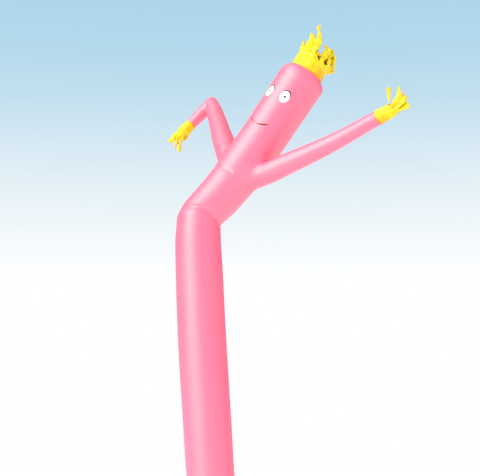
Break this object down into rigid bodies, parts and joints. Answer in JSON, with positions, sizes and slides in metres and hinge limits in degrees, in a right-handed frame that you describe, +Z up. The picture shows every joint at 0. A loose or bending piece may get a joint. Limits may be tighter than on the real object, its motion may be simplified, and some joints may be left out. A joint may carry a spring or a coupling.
{
  "type": "inflatable air dancer",
  "caption": "Inflatable air dancer: a bent pink nylon tube, open at its hem, with sleeve arms, cut yellow hair and hands, and a sewn face.",
  "frame": {"origin": "centre of the open mouth, at the bottom edge of its hem", "axes": "+Z up out of the blower along the tube's foot; the body bends in the XZ plane and over towards +X; the figure is seen from -Y"},
  "size_m": [2.269, 1.8785, 5.6168],
  "materials": {
    "pink_nylon": "fine ripstop nylon with a soft sheen",
    "yellow_nylon": "fine ripstop nylon with a soft sheen",
    "white_cloth": "plain cloth",
    "grey_cloth": "plain cloth",
    "dark_cloth": "plain cloth"
  },
  "bodies": {
    "root": {"body_tube": "pink_nylon", "arm_left": "pink_nylon", "arm_right": "pink_nylon", "hair_band": "yellow_nylon", "hair_locks": "yellow_nylon", "cuff_left": "yellow_nylon", "cuff_right": "yellow_nylon", "fingers_left": "yellow_nylon", "fingers_right": "yellow_nylon", "eye_left": "white_cloth", "eye_right": "white_cloth", "pupil_left": "grey_cloth", "pupil_right": "grey_cloth", "lid_left": "dark_cloth", "lid_right": "dark_cloth", "mouth": "dark_cloth"}
  },
  "joints": []
}
